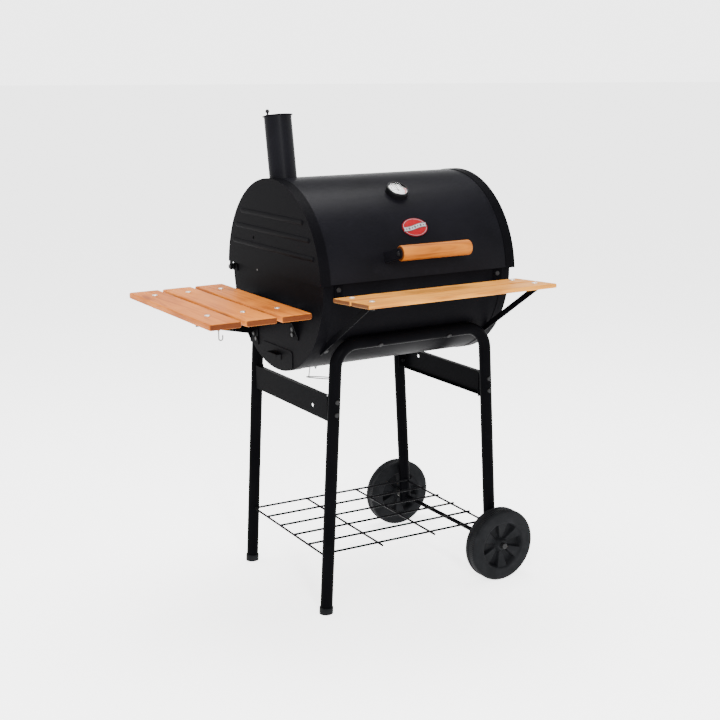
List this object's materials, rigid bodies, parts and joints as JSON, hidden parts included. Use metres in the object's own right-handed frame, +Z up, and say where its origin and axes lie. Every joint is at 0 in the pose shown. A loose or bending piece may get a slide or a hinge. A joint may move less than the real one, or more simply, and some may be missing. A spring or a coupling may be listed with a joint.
{
  "type": "charcoal grill",
  "caption": "Barrel charcoal grill on a wheeled tube cart with a hinged lid, short stack, wood shelves, ash drawer and wire rack.",
  "frame": {"origin": "centre of the bounding box at floor level", "axes": "+X along the barrel from the side shelf to the wheels, +Z up, -Y towards the cook"},
  "size_m": [0.9394, 0.7412, 1.2743],
  "materials": {
    "black_paint": "satin high-heat paint",
    "black_tube": "satin powder coat",
    "dark_bolt": "satin",
    "zinc_bolt": "zinc plated",
    "plated_wire": "plated",
    "black_wire": "gloss coat",
    "cast_iron": "rough cast",
    "shelf_wood": "clear satin",
    "side_wood": "clear satin",
    "black_plastic": "moulded",
    "gauge_bezel": "gloss",
    "gauge_face": "printed",
    "gauge_needle": "satin",
    "gauge_glass": "clear",
    "badge_enamel": "gloss enamel"
  },
  "bodies": {
    "cart": {"hinge_bolts": "dark_bolt", "body_shell": "black_paint", "body_left_cap": "black_paint", "body_right_cap": "black_paint", "damper_bolt": "zinc_bolt", "grate_rails": "black_paint", "fire_grate_rails": "black_paint", "warming_rack": "plated_wire", "ash_pan_runners": "black_paint", "front_arch": "black_tube", "rear_arch": "black_tube", "leg_left_front": "black_tube", "leg_left_rear": "black_tube", "leg_right_front": "black_tube", "leg_right_rear": "black_tube", "foot_caps": "black_plastic", "brace_left": "black_tube", "brace_right": "black_tube", "arch_bolts": "dark_bolt", "brace_bolts": "dark_bolt", "axle": "black_tube", "axle_caps": "dark_bolt", "axle_washers": "zinc_bolt", "storage_rack": "black_wire", "front_slat_inner": "shelf_wood", "front_slat_outer": "shelf_wood", "front_shelf_arms": "black_tube", "front_shelf_struts": "black_tube", "front_shelf_bolts": "zinc_bolt", "side_slat_outer": "side_wood", "side_slat_middle": "side_wood", "side_slat_inner": "side_wood", "side_shelf_brackets": "black_tube", "side_shelf_bolts": "zinc_bolt", "utensil_hook": "plated_wire", "drip_can_holder": "plated_wire"},
    "hood": {"hood_shell": "black_paint", "hood_left_cap": "black_paint", "hood_right_cap": "black_paint", "stack_tube": "black_paint", "stack_flange": "black_paint", "gauge_case": "gauge_bezel", "gauge_dial": "gauge_face", "gauge_glass": "gauge_glass", "badge_plate": "badge_enamel", "handle_grip": "shelf_wood", "handle_arms": "black_paint", "handle_screws": "dark_bolt"},
    "stack_lid": {"stack_flap": "black_paint", "stack_flap_knob": "dark_bolt"},
    "pointer": {"gauge_needle": "gauge_needle"},
    "front_wheel": {"wheel_front": "black_plastic"},
    "rear_wheel": {"wheel_rear": "black_plastic"},
    "ash_drawer": {"ash_pan": "black_paint", "ash_pan_handle": "black_paint"},
    "air_damper": {"damper_plate": "black_paint"},
    "grate_left": {"cooking_grate_left": "cast_iron"},
    "grate_middle": {"cooking_grate_middle": "cast_iron"},
    "grate_right": {"cooking_grate_right": "cast_iron"},
    "coal_grate": {"fire_grate": "cast_iron"}
  },
  "joints": [
    {"name": "hood_hinge", "type": "hinge", "parent": "cart", "child": "hood", "pos_m": [0.11325, 0.33158, 0.848], "axis": [-1, 0, 0], "range_deg": [0, 95]},
    {"name": "stack_lid_swivel", "type": "hinge", "parent": "hood", "child": "stack_lid", "pos_m": [-0.14685, 0.14845, 1.25618], "axis": [0, 0.1611, 0.9869], "range_deg": [0, 120]},
    {"name": "gauge_pointer", "type": "hinge", "parent": "hood", "child": "pointer", "pos_m": [0.11325, -0.05842, 1.06796], "axis": [0, -0.5344, 0.8453], "range_deg": [-240, 0]},
    {"name": "front_wheel_spin", "type": "hinge", "parent": "cart", "child": "front_wheel", "pos_m": [0.36975, -0.17842, 0.1], "axis": [0, 1, 0], "continuous": true},
    {"name": "rear_wheel_spin", "type": "hinge", "parent": "cart", "child": "rear_wheel", "pos_m": [0.36975, 0.34158, 0.1], "axis": [0, 1, 0], "continuous": true},
    {"name": "ash_drawer_slide", "type": "slide", "parent": "cart", "child": "ash_drawer", "axis": [-1, 0, 0], "range_m": [0, 0.45]},
    {"name": "air_damper_turn", "type": "hinge", "parent": "cart", "child": "air_damper", "pos_m": [0.39525, 0.08158, 0.7], "axis": [1, 0, 0], "range_deg": [0, 60]},
    {"name": "grate_left_lift", "type": "slide", "parent": "cart", "child": "grate_left", "axis": [0, 0, 1], "range_m": [0, 0.05]},
    {"name": "grate_middle_lift", "type": "slide", "parent": "cart", "child": "grate_middle", "axis": [0, 0, 1], "range_m": [0, 0.05]},
    {"name": "grate_right_lift", "type": "slide", "parent": "cart", "child": "grate_right", "axis": [0, 0, 1], "range_m": [0, 0.05]},
    {"name": "coal_grate_lift", "type": "slide", "parent": "cart", "child": "coal_grate", "axis": [0, 0, 1], "range_m": [0, 0.08]}
  ]
}
